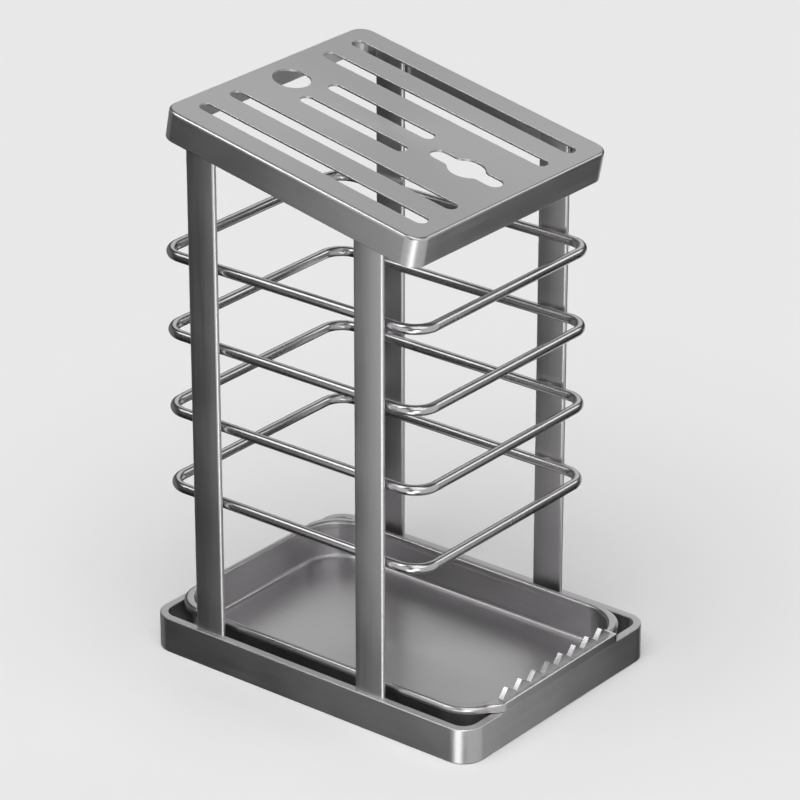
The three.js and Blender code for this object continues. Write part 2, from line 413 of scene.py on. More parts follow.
def edge_share(point: bmesh.types.BMVert, normals: Sequence[Vector]) -> float:
    """Tells how far a point is on an outward edge, for its wear and painted highlight.

    Args:
        point: A point of the mesh.
        normals: The outward directions of all the mesh's points.

    Returns:
        0 on flat and hollow places and gentle bends, up to 1 on a small outward round.
    """
    here = normals[point.index]
    bends = []
    for edge in point.link_edges:
        other = edge.other_vert(point)
        step = other.co - point.co
        bends.append((normals[other.index] - here).dot(step) / step.length_squared)
    # The second largest, because a point on an edge bends away from neighbours on both sides.
    bend = sorted(bends)[-2]
    share = (bend - 1 / SOFT_EDGE_RADIUS) / (1 / HARD_EDGE_RADIUS - 1 / SOFT_EDGE_RADIUS)
    return min(max(share, 0.0), 1.0)


def add_object(name: str, data: bpy.types.ID) -> bpy.types.Object:
    """Adds an object to the scene.

    Args:
        name: The object's name.
        data: Its mesh, lamp or camera.

    Returns:
        The new object.
    """
    made = bpy.data.objects.new(name, data)
    bpy.context.scene.collection.objects.link(made)
    return made


class MeshDraft:
    """The points and faces of one closed piece, gathered before its mesh is made."""

    def __init__(self) -> None:
        """Starts with no points."""
        self.points: list[Vector] = []
        self.faces: list[tuple[int, ...]] = []
        self.finish_of: list[int] = []
        self.is_plate: list[int] = []

    def add_face(self, face: Sequence[int], finish: int = 0, plate: bool = False) -> None:
        """Adds one face.

        Args:
            face: The numbers of its points, in order.
            finish: The number of the finish that it takes.
            plate: Whether it is part of a flat sheet, which sets its points' shading.
        """
        self.faces.append(tuple(face))
        self.finish_of.append(finish)
        self.is_plate.append(int(plate))

    def add_grid(
        self, rows: PointRows, rows_closed: bool, columns_closed: bool, finish: int = 0
    ) -> IndexRows:
        """Adds a skin of four-sided faces over rows of points.

        Args:
            rows: The points, in rows of one length.
            rows_closed: Whether the last row joins the first.
            columns_closed: Whether each row's last point joins its first.
            finish: The number of the finish that the faces take.

        Returns:
            The numbers of the points, in the same rows.
        """
        start = len(self.points)
        width = len(rows[0])
        for row in rows:
            self.points.extend(row)
        numbers = [[start + r * width + c for c in range(width)] for r in range(len(rows))]
        for r in range(len(rows) if rows_closed else len(rows) - 1):
            here = numbers[r]
            ahead = numbers[(r + 1) % len(rows)]
            for c in range(width if columns_closed else width - 1):
                right = (c + 1) % width
                self.add_face((here[c], ahead[c], ahead[right], here[right]), finish)
        return numbers

    def sweep(
        self,
        stations: Sequence[Station],
        section: Callable[[Station], Section],
        looped: bool,
        finish: int = 0,
    ) -> IndexRows:
        """Carries a section round a closed outline, and gives a row of numbers for each station."""
        rows = [[station.at(*point) for point in section(station)] for station in stations]
        return self.add_grid(rows, True, looped, finish)

    def sweep_evenly(
        self, stations: Sequence[Station], section: Section, looped: bool, finish: int = 0
    ) -> IndexRows:
        """Carries a section that stays the same round a closed outline, as sweep does."""
        return self.sweep(stations, lambda station: section, looped, finish)

    def add_plate(self, loops: Sequence[Sequence[int]], finish: int = 0) -> None:
        """Fills a flat outline, with holes.

        Args:
            loops: The numbers of the points of the outline, then of each hole.
            finish: The number of the finish that the faces take.
        """
        flat = [number for loop in loops for number in loop]
        outlines = [[self.points[number] for number in loop] for loop in loops]
        for triangle in tessellate_polygon(outlines):
            self.add_face([flat[corner] for corner in triangle], finish, plate=True)

    def add_bar(self, rows: PointRows) -> None:
        """Adds a skin over rings of points and fills the flat ends.

        Args:
            rows: The rings, from one end to the other.
        """
        numbers = self.add_grid(rows, False, True)
        self.add_plate([numbers[0]])
        self.add_plate([numbers[-1]])

    def turn(self, change: Matrix) -> None:
        """Moves every point by a matrix."""
        self.points = [change @ point for point in self.points]

    def to_object(self, name: str, finishes: Sequence[bpy.types.Material]) -> bpy.types.Object:
        """Makes the piece, with its faces pointing out and its flat faces shaded flat.

        Args:
            name: The piece's name.
            finishes: Its materials, by the numbers that the faces hold.

        Returns:
            The new object, in the scene.
        """
        mesh = bpy.data.meshes.new(name)
        mesh.from_pydata([tuple(point) for point in self.points], [], self.faces)
        build = bmesh.new()
        build.from_mesh(mesh)
        plate = build.faces.layers.int.new("plate")
        for face, finish, flat in zip(build.faces, self.finish_of, self.is_plate):
            face.material_index = finish
            face.smooth = True
            face[plate] = flat
        bmesh.ops.remove_doubles(build, verts=build.verts, dist=MERGE_DISTANCE)
        bmesh.ops.recalc_face_normals(build, faces=build.faces)
        if build.calc_volume(signed=True) < 0:
            bmesh.ops.reverse_faces(build, faces=build.faces)
        build.normal_update()
        build.verts.index_update()
        normals = [point_normal(point, plate) for point in build.verts]
        edges = [edge_share(point, normals) for point in build.verts]
        build.to_mesh(mesh)
        build.free()
        mesh.attributes.new(EDGE_MARK, "FLOAT", "POINT").data.foreach_set("value", edges)
        mesh.normals_split_custom_set_from_vertices(normals)
        for finish in finishes:
            mesh.materials.append(finish)
        return add_object(name, mesh)


def settle(piece: bpy.types.Object, body: Body, slot: str, *nodes: str) -> bpy.types.Object:
    """Ties a finished piece to the frame.

    Args:
        piece: The piece, in place.
        body: The body that it rides on.
        slot: The record's material slot; not used.
        *nodes: The frame's nodes that it stands for.

    Returns:
        The same piece.
    """
    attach(piece, body.value)
    if nodes:
        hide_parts(*nodes)
    return piece


@dataclass(frozen=True)
class BaseBand:
    """The flat bar on edge that the posts stand on and the tray hangs in."""

    thickness: float = 3.4 * MM
    corner_radius: float = 9.0 * MM
    edge_round: float = 0.45 * MM
    seam_round: float = 0.04 * MM
    seam_half_length: float = 36.0 * MM
    seam_fade: float = 2.0 * MM

    def edge_at(self, station: Station) -> float:
        """Gives the top edge's rounding, which dies out where the tray's lip lies on it.

        Args:
            station: A place on the outline.

        Returns:
            The radius of the edge there.
        """
        if not station.is_right():
            return self.edge_round
        share = (abs(station.y) - self.seam_half_length) / self.seam_fade
        share = min(max(share, 0.0), 1.0)
        return self.seam_round + (self.edge_round - self.seam_round) * share

    def build(self, finish: SteelFinish) -> bpy.types.Object:
        """Builds and dresses the band.

        Args:
            finish: The band's finish.

        Returns:
            The band.
        """
        low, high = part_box("base_band")
        seam = self.seam_half_length
        faded = seam + self.seam_fade
        outline = rounded_rectangle(
            high.x, high.y, self.corner_radius, right_marks=[-faded, -seam, seam, faded]
        )

        def section(station: Station) -> Section:
            """Gives the bar's section.

            Args:
                station: A place on the outline.

            Returns:
                The section's points.
            """
            return rounded_section(
                [
                    Corner(0.0, low.z, self.edge_round),
                    Corner(0.0, high.z, self.edge_at(station)),
                    Corner(self.thickness, high.z, self.edge_round),
                    Corner(self.thickness, low.z, self.edge_round),
                ],
                looped=True,
            )

        draft = MeshDraft()
        draft.sweep(outline, section, looped=True)
        piece = draft.to_object("band", [finish.material()])
        return settle(piece, Body.RACK, "band_steel", "base_band")


@dataclass(frozen=True)
class Posts:
    """Four flat bars that stand on the band and reach up inside the top's skirt."""

    edge_round: float = 1.0 * MM
    crown: float = 0.2 * MM
    face_steps: int = 10
    edge_steps: int = 8
    weld_depth: float = 0.5 * MM
    end_band: float = 0.1 * MM

    def section(self, low: Vector, high: Vector) -> Section:
        """Draws a post's section in plan, with crowned faces and rounded edges.

        Args:
            low: The lowest corner of the post's box.
            high: The highest corner of the post's box.

        Returns:
            The section's points, anticlockwise.
        """
        middle = (low + high) / 2
        half_width = (high.x - low.x) / 2
        half_thickness = (high.y - low.y) / 2
        flat = half_width - self.edge_round
        side = half_thickness - self.crown
        points = []
        for turn in (-1, 1):
            for step in range(self.face_steps + 1):
                share = 2 * step / self.face_steps - 1
                rise = side + self.crown * (1 - share * share)
                points.append((-turn * flat * share, turn * rise))
            for start in (0, 1):
                centre_y = turn * (side - self.edge_round) * (1 - 2 * start)
                for step in range(1, self.edge_steps + 1):
                    angle = (start + step / self.edge_steps) * QUARTER_TURN
                    out_x = self.edge_round * math.sin(angle)
                    out_y = self.edge_round * math.cos(angle)
                    points.append((-turn * (flat + out_x), centre_y + turn * out_y))
        return [(middle.x + x, middle.y + y) for x, y in points]

    def build(self, finish: SteelFinish) -> list[bpy.types.Object]:
        """Builds and dresses the posts.

        Args:
            finish: The posts' finish.

        Returns:
            The four posts.
        """
        pieces = []
        material = finish.material()
        slope = math.tan(TOP_SLOPE)
        for place in POST_PLACES:
            node = "post_" + place
            low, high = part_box(node)
            outline = self.section(low, high)
            rows = []
            for lift in (0.0, self.end_band):
                foot = low.z - self.weld_depth + lift
                rows.append([Vector((x, y, foot)) for x, y in outline])
            for drop in (self.end_band, 0.0):
                head = high.z - drop
                rows.append([Vector((x, y, head - (x - low.x) * slope)) for x, y in outline])
            draft = MeshDraft()
            draft.add_bar(rows)
            pieces.append(draft.to_object("upright_" + place, [material]))
            settle(pieces[-1], Body.RACK, "post_steel", node)
        return pieces


@dataclass(frozen=True)
class WireRings:
    """Four rings of round wire, bent to rounded rectangles and welded inside the posts."""

    count: int = 4
    bend_radius: float = 9.0 * MM
    bend_steps: int = 18
    sides: int = 24

    def section(self, radius: float, height: float) -> Section:
        """Draws the wire's round section, by its radius and the height of its middle."""
        turns = [2 * math.pi * side / self.sides for side in range(self.sides)]
        return [(-radius * math.cos(turn), height + radius * math.sin(turn)) for turn in turns]

    def build(self, finish: SteelFinish) -> list[bpy.types.Object]:
        """Builds and dresses the rings.

        Args:
            finish: The rings' finish.

        Returns:
            The rings, from the lowest up.
        """
        pieces = []
        material = finish.material()
        for number in range(1, self.count + 1):
            node = f"wire_ring_{number}"
            low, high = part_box(node)
            half = (high - low) / 2
            middle = (low + high) / 2
            outline = rounded_rectangle(
                half.x - half.z,
                half.y - half.z,
                self.bend_radius,
                middle_x=middle.x,
                steps=self.bend_steps,
            )
            draft = MeshDraft()
            draft.sweep_evenly(outline, self.section(half.z, middle.z), looped=True)
            pieces.append(draft.to_object(f"ring_{number}", [material]))
            settle(pieces[-1], Body.RACK, "wire_steel", node)
        return pieces


@dataclass(frozen=True)
class WeldPads:
    """The small pads of weld between each ring and the posts that it crosses."""

    half_length: float = 3.2 * MM
    half_height: float = 1.5 * MM
    reach: float = 1.1 * MM
    root_depth: float = 0.2 * MM
    steps: int = 10

    def pad_rows(self, centre: Vector, side: int) -> PointRows:
        """Draws one pad as a flattened dome that stands out from the post's inner face.

        Args:
            centre: The middle of its base, just inside the post.
            side: 1 on the back posts and -1 on the front ones.

        Returns:
            Rings of points from its base to its crown.
        """
        turns = [math.pi * step / self.steps for step in range(2 * self.steps)]
        rows = []
        for ring in range(self.steps):
            lift = QUARTER_TURN * ring / self.steps
            x = self.half_length * math.cos(lift)
            y = -side * self.reach * math.sin(lift)
            z = self.half_height * math.cos(lift)
            rows.append([centre + Vector((x * math.cos(t), y, z * math.sin(t))) for t in turns])
        return rows

    def build(self, finish: SteelFinish) -> bpy.types.Object:
        """Builds and dresses all the pads as one piece.

        Args:
            finish: The pads' finish.

        Returns:
            The pads.
        """
        draft = MeshDraft()
        depth = Posts.crown + self.root_depth
        for number in range(1, WireRings.count + 1):
            ring_low, ring_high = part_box(f"wire_ring_{number}")
            height = (ring_low.z + ring_high.z) / 2
            for place in POST_PLACES:
                low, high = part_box("post_" + place)
                side = 1 if low.y > 0 else -1
                face = low.y if side > 0 else high.y
                centre = Vector(((low.x + high.x) / 2, face + side * depth, height))
                draft.add_bar(self.pad_rows(centre, side))
        piece = draft.to_object("ring_welds", [finish.material()])
        return settle(piece, Body.RACK, "wire_steel")


@dataclass(frozen=True)
class SlopingTop:
    """The pressed top: a slotted sheet with a folded skirt, sloping down to the right.

    It is drawn level, with its low end at x = 0 and its upper face at z = 0, and then tilted.
    """

    length: float = 120.6 * MM
    sheet: float = 0.9 * MM
    skirt_depth: float = 11.9 * MM
    corner_radius: float = 6.5 * MM
    fold_radius: float = 1.2 * MM
    fold_inner_radius: float = 0.3 * MM
    hem_round: float = 0.25 * MM
    cut_round: float = 0.22 * MM
    slot_width: float = 5.8 * MM
    long_slot_margins: Pair = (7.3 * MM, 7.1 * MM)
    short_slot_margins: Pair = (45.7 * MM, 25.2 * MM)
    long_slot_rows: Pair = (43.8 * MM, 26.9 * MM)
    short_slot_row: float = 8.1 * MM
    hole_radius: float = 7.3 * MM
    hole_inset: float = 13.4 * MM
    scissor_length: float = 32.0 * MM
    scissor_width: float = 7.2 * MM
    scissor_start: float = 7.7 * MM
    bulge_radius: float = 7.2 * MM
    blend_radius: float = 2.5 * MM
    end_steps: int = 14
    fold_steps: int = 8
    cut_steps: int = 4

    def slot(self, row: float, margins: Pair) -> list[Station]:
        """Draws a straight slot along the slope.

        Args:
            row: How far it lies from the centre line.
            margins: The metal left at the low end and at the high end.

        Returns:
            The slot's outline.
        """
        radius = self.slot_width / 2
        low = -margins[0] - radius
        high = margins[1] + radius - self.length
        ends = ((low, -QUARTER_TURN), (high, QUARTER_TURN))
        outline = []
        for middle, start in ends:
            outline += arc((middle, row), radius, start, start + math.pi, self.end_steps)
        return outline

    def scissor_slot(self) -> list[Station]:
        """Draws the scissors slot: a straight slot with a round bulge, blended at the joins.

        Returns:
            The slot's outline.
        """
        radius = self.scissor_width / 2
        middle = -self.scissor_start - self.scissor_length / 2
        reach = self.bulge_radius + self.blend_radius
        rise = radius + self.blend_radius
        blend_x = math.sqrt(reach * reach - rise * rise)
        lean = math.atan2(rise, blend_x)
        half_run = self.scissor_length / 2 - radius
        bends = (
            (half_run, 0.0, radius, -QUARTER_TURN, QUARTER_TURN),
            (blend_x, rise, -self.blend_radius, QUARTER_TURN, lean),
            (0.0, 0.0, self.bulge_radius, lean, math.pi - lean),
            (-blend_x, rise, -self.blend_radius, math.pi - lean, QUARTER_TURN),
        )
        outline = []
        for side, turn in ((1, 0.0), (-1, math.pi)):
            for x, y, bend, start, end in bends:
                centre = (middle + side * x, side * y)
                outline += arc(centre, bend, turn + start, turn + end, self.end_steps)
        return outline

    def openings(self) -> list[list[Station]]:
        """Draws every opening in the top.

        Returns:
            The openings' outlines.
        """
        hole_centre = (self.hole_inset - self.length, 0.0)
        hole = arc(hole_centre, self.hole_radius, 0.0, 2 * math.pi, 4 * self.end_steps)[:-1]
        outlines = [self.scissor_slot(), hole]
        for side in (-1, 1):
            for row in self.long_slot_rows:
                outlines.append(self.slot(side * row, self.long_slot_margins))
            outlines.append(self.slot(side * self.short_slot_row, self.short_slot_margins))
        return outlines

    def build(self, face: SteelFinish, skirt: SteelFinish) -> bpy.types.Object:
        """Builds and dresses the top.

        Args:
            face: The finish of the slotted sheet.
            skirt: The finish of the folded skirt.

        Returns:
            The top, in place.
        """
        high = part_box("top_plate")[1]
        middle_x = -self.length / 2
        outline = rounded_rectangle(-middle_x, high.y, self.corner_radius, middle_x=middle_x)
        rim = self.fold_radius + self.fold_inner_radius
        fold = rounded_section(
            [
                Corner(rim, 0.0),
                Corner(0.0, 0.0, self.fold_radius),
                Corner(0.0, -self.skirt_depth, self.hem_round),
                Corner(self.sheet, -self.skirt_depth, self.hem_round),
                Corner(self.sheet, -self.sheet, self.fold_inner_radius),
                Corner(rim, -self.sheet),
            ],
            looped=False,
            steps=self.fold_steps,
        )
        cut = rounded_section(
            [
                Corner(-self.cut_round, 0.0),
                Corner(0.0, 0.0, self.cut_round),
                Corner(0.0, -self.sheet, self.cut_round),
                Corner(-self.cut_round, -self.sheet),
            ],
            looped=False,
            steps=self.cut_steps,
        )
        draft = MeshDraft()
        edge = draft.sweep_evenly(outline, fold, looped=False, finish=1)
        upper = [[row[0] for row in edge]]
        under = [[row[-1] for row in edge]]
        for opening in self.openings():
            wall = draft.sweep_evenly(opening, cut, looped=False)
            upper.append([row[0] for row in wall])
            under.append([row[-1] for row in wall])
        draft.add_plate(upper)
        draft.add_plate(under)
        draft.turn(Matrix.Rotation(TOP_SLOPE, 4, "Y"))
        own_x = max(point.x for point in draft.points)
        own_z = max(point.z for point in draft.points)
        draft.turn(Matrix.Translation((high.x - own_x, 0.0, high.z - own_z)))
        piece = draft.to_object("slotted_top", [face.material(), skirt.material()])
        return settle(piece, Body.RACK, "top_steel", "top_plate")


@dataclass(frozen=True)
class DripTray:
    """The pressed sheet tray with a rolled rim, which hangs on the ends of the band.

    Its walls bend in a wider corner than the rim does, so the rim is broadest at the corners.
    """

    sheet: float = 0.8 * MM
    corner_radius: float = 15.5 * MM
    wall_corner_radius: float = 17.0 * MM
    bend_radius: float = 2.0 * MM
    rim_overhang: float = 1.7 * MM
    rim_bulge: float = 0.4 * MM
    rim_height: float = 3.1 * MM
    outer_round: float = 1.5 * MM
    inner_round: float = 1.35 * MM
    under_round: float = 0.6 * MM
    tuck_round: float = 0.15 * MM
    floor_margin: float = 6.0 * MM
    seat_half_length: float = 34.4 * MM
    seat_drop: float = 3.4 * MM
    corner_steps: int = 20
    run_steps: int = 6
    section_steps: int = 8

    def wall_inset(self) -> float:
        """Gives how far in from the rim's outer face the walls' inner faces lie."""
        return self.rim_overhang + self.sheet

    def extra_bend(self) -> float:
        """Gives how much wider the walls' corner is than one that runs evenly inside the rim's."""
        return self.wall_corner_radius - self.corner_radius + self.wall_inset()

    def wall_shift(self, station: Station, high: Vector) -> float:
        """Gives how much further in the wall lies at a station, through its wider corners.

        Args:
            station: The station on the rim's outline.
            high: The highest corner of the tray's box.

        Returns:
            The shift, zero away from the corners.
        """
        centre_inset = self.corner_radius + self.extra_bend()
        along = abs(station.x) - high.x + centre_inset
        across = abs(station.y) - high.y + centre_inset
        if min(along, across) <= 0:
            return 0.0
        lean = along * abs(station.out_x) + across * abs(station.out_y)
        chord = lean**2 - along**2 - across**2 + self.wall_corner_radius**2
        return lean - math.sqrt(chord) - self.wall_inset()

    def rim_section(self, low: Vector, high: Vector) -> Section:
        """Draws the section from the underside, over the rim and down to the floor.

        Args:
            low: The lowest corner of the tray's box.
            high: The highest corner of the tray's box.

        Returns:
            The section's points.
        """
        under = high.z - self.rim_height
        inner_wall = self.wall_inset()
        reach = inner_wall + self.rim_bulge
        floor = low.z + self.sheet
        return rounded_section(
            [
                Corner(self.floor_margin, low.z),
                Corner(self.rim_overhang, low.z, self.bend_radius + self.sheet),
                Corner(self.rim_overhang, under, self.tuck_round),
                Corner(0.0, under, self.under_round),
                Corner(0.0, high.z, self.outer_round),
                Corner(reach, high.z, self.inner_round),
                Corner(reach, under + self.rim_bulge, self.tuck_round),
                Corner(inner_wall, under, self.tuck_round),
                Corner(inner_wall, floor, self.bend_radius),
                Corner(self.floor_margin, floor),
            ],
            looped=False,
            steps=self.section_steps,
        )

    def build(self, wall: SteelFinish, floor: SteelFinish) -> bpy.types.Object:
        """Builds and dresses the tray.

        Args:
            wall: The finish of its walls and rim.
            floor: The finish of its floor.

        Returns:
            The tray.
        """
        low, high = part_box("drip_tray")
        seat = self.seat_half_length
        outline = rounded_rectangle(
            high.x,
            high.y,
            self.corner_radius,
            right_marks=[-seat - LEAST_STEP, -seat, seat, seat + LEAST_STEP],
            runs=[self.extra_bend() * (run + 1) / self.run_steps for run in range(self.run_steps)],
            steps=self.corner_steps,
        )
        full = self.rim_section(low, high)
        seat_top = high.z - self.seat_drop
        seated = []
        for inset, height in full:
            if height > seat_top:
                inset = min(max(inset, self.rim_overhang), self.wall_inset())
                height = seat_top
            seated.append((inset, height))
        # The rim's outer round keeps to the outline, and what is further in bends with the wall.
        outer_part = self.outer_round + MERGE_DISTANCE

        def section(station: Station) -> Section:
            """Gives the tray's section, with no rim where the lip sits.

            Args:
                station: A place on the rim's outline.

            Returns:
                The section's points.
            """
            on_seat = station.is_right() and abs(station.y) <= seat
            shift = self.wall_shift(station, high)
            return [
                (inset + shift if inset > outer_part else inset, height)
                for inset, height in (seated if on_seat else full)
            ]

        draft = MeshDraft()
        rows = draft.sweep(outline, section, looped=False)
        draft.add_plate([[row[0] for row in rows]])
        draft.add_plate([[row[-1] for row in rows]], finish=1)
        piece = draft.to_object("tray_pan", [wall.material(), floor.material()])
        return settle(piece, Body.TRAY, "tray_steel", "drip_tray")


@dataclass(frozen=True)
class ToothedLip:
    """The strip on the tray's right end that hooks over the band, with its row of teeth."""

    flare_turn: float = math.radians(24.0)
    flare_steps: int = 14
    seam_gap: float = 0.03 * MM
    edge_round: float = 0.5 * MM
    seam_round: float = 0.04 * MM
    wall_setback: float = 2.2 * MM
    wall_thickness: float = 2.2 * MM
    wall_round: float = 0.2 * MM
    wall_round_share: float = 1 / 3
    tooth_count: int = 8
    tooth_pitch: float = 8.4 * MM
    tooth_height: float = 3.9 * MM
    tooth_rise_share: float = 0.4
    valley_lift: float = 0.3 * MM
    tip_round: float = 0.25 * MM
    flat_wall: float = 0.02 * MM
    proud: float = 0.03 * MM
    end_band: float = 0.1 * MM
    tip_steps: int = 4
    section_steps: int = 8
    tray: DripTray = DripTray()

    def tooth_line(self, ledge: float) -> list[SectionPoint]:
        """Draws the teeth's outline along the lip.

        Args:
            ledge: The height of the lip's upper face.

        Returns:
            Places along Y with the height of the toothed wall there.
        """
        first = -self.tooth_count * self.tooth_pitch / 2
        valley = ledge + self.valley_lift
        corners = [Corner(first, valley)]
        for tooth in range(self.tooth_count):
            start = first + tooth * self.tooth_pitch
            tip = start + self.tooth_pitch * self.tooth_rise_share
            corners.append(Corner(tip, ledge + self.tooth_height, self.tip_round))
            corners.append(Corner(start + self.tooth_pitch, valley, self.tip_round))
        return rounded_section(corners, looped=False, steps=self.tip_steps)

    def section(
        self, rim_x: float, shift: float, share: float, base: float, ledge: float, crest: float
    ) -> Section:
        """Draws the lip's section, or one of the flare between it and the rim.

        Args:
            rim_x: Where the rim's outer face lies along X, which insets are counted from.
            shift: How much further in the tray's wall lies there than along its sides.
            share: 0 where the flare still is the rim, 1 where the lip has its full width.
            base: The height of the underside.
            ledge: The height of the upper face.
            crest: The height of the toothed wall.

        Returns:
            The section's points.
        """
        tray = self.tray
        lip_outer = rim_x - CAD_BOX[1].x

        def blend(at_rim: float, at_lip: float) -> float:
            """Gives a size part of the way from the rim's to the lip's."""
            return at_rim + (at_lip - at_rim) * share

        inner = tray.wall_inset() + tray.rim_bulge + shift + self.proud
        outer = blend(-self.proud, lip_outer)
        chamfer = blend(tray.rim_bulge, self.seam_round)
        tuck_round = blend(tray.tuck_round, self.seam_round)
        inner_round = blend(tray.inner_round, self.edge_round)
        outer_round = blend(tray.outer_round, self.edge_round)
        wall_round = min(self.wall_round, (crest - ledge) * self.wall_round_share)
        face = max(lip_outer + self.wall_setback, outer + outer_round + wall_round)
        back = min(face + self.wall_thickness, inner - inner_round - wall_round)
        return rounded_section(
            [
                Corner(inner - chamfer, base, tuck_round),
                Corner(inner, base + chamfer, tuck_round),
                Corner(inner, ledge, inner_round),
                Corner(back, ledge, wall_round),
                Corner(back, crest, wall_round),
                Corner(face, crest, wall_round),
                Corner(face, ledge, wall_round),
                Corner(outer, ledge, outer_round),
                Corner(outer, base, blend(tray.under_round, self.seam_round)),
            ],
            looped=True,
            steps=self.section_steps,
        )

    def flare(self, rim_x: float, rim_end: float) -> list[tuple[Station, float]]:
        """Follows the rim's corner, where the lip grows out of the rim.

        Args:
            rim_x: Where the rim's outer face lies along X.
            rim_end: Where the rim's right side begins to bend, along Y.

        Returns:
            Stations from the rim to the lip, each with its share of the lip's shape.
        """
        radius = self.tray.corner_radius
        centre = (rim_x - radius, rim_end)
        start = -self.flare_turn
        cap = arc(centre, radius, start - self.end_band / radius, start, 1)[0]
        stations = [(cap, 0.0)]
        for number, station in enumerate(arc(centre, radius, start, 0.0, self.flare_steps)):
            stations.append((station, eased(number / self.flare_steps)))
        return stations

    def build(self, finish: SteelFinish) -> bpy.types.Object:
        """Builds and dresses the lip.

        Args:
            finish: The lip's finish.

        Returns:
            The lip.
        """
        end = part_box("tray_toothed_lip")[1].y
        rim_low, rim_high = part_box("drip_tray")
        ledge = rim_high.z + self.proud
        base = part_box("base_band")[1].z + self.seam_gap
        rim_base = rim_high.z - self.tray.rim_height - self.proud
        flat = ledge + self.flat_wall
        teeth = self.tooth_line(ledge)
        places = [(teeth[0][0] - LEAST_STEP, flat), *teeth, (teeth[-1][0] + LEAST_STEP, flat)]
        places += [(end - self.end_band, flat), (end, flat)]
        stops = [
            (station, share, flat)
            for station, share in self.flare(rim_high.x, rim_low.y + self.tray.corner_radius)
        ]
        stops += [(Station(rim_high.x, place, 1.0, 0.0), 1.0, crest) for place, crest in places]
        rows = []
        for station, share, crest in stops:
            under = rim_base + (base - rim_base) * share
            shift = self.tray.wall_shift(station, rim_high)
            points = self.section(rim_high.x, shift, share, under, ledge, crest)
            rows.append([station.at(*point) for point in points])
        draft = MeshDraft()
        numbers = draft.add_grid(rows, False, True)
        draft.add_face(numbers[0], plate=True)
        draft.add_face(numbers[-1], plate=True)
        piece = draft.to_object("tray_lip", [finish.material()])
        return settle(piece, Body.TRAY, "tray_steel", "tray_toothed_lip")


@dataclass(frozen=True)
class Glow:
    """A soft bright patch of the room. Its place, even core and fading edge are in degrees."""

    azimuth: float
    elevation: float
    core: float
    fade: float
    strength: float


def direction(azimuth: float, elevation: float) -> Vector:
    """Gives the direction out from the object at an azimuth and elevation in degrees.

    Args:
        azimuth: 0 is out from the front, 90 out from the right end.
        elevation: Degrees above the horizon.

    Returns:
        The direction, one metre long.
    """
    turn = math.radians(azimuth)
    lift = math.radians(elevation)
    return Vector(
        (math.sin(turn) * math.cos(lift), -math.cos(turn) * math.cos(lift), math.sin(lift))
    )


def aim(
    target: Vector, data: bpy.types.ID, azimuth: float, elevation: float, distance: float = 0.0
) -> bpy.types.Object:
    """Adds a lamp or a camera that faces a point.

    Args:
        target: The point.
        data: The lamp or camera, which also names the object.
        azimuth: The azimuth at which it stands, as direction has it.
        elevation: The elevation at which it stands.
        distance: How far it is from the point, which makes no difference to a sun.

    Returns:
        The new object.
    """
    out = direction(azimuth, elevation)
    aimed = add_object(data.name, data)
    aimed.location = target + out * distance
    aimed.rotation_euler = out.to_track_quat("Z", "Y").to_euler()
    return aimed


@dataclass(frozen=True)
class Softbox:
    """A soft rectangular lamp that faces the object and shows in the steel alone."""

    name: str
    azimuth: float
    elevation: float
    distance: float
    width: float
    height: float
    radiance: float


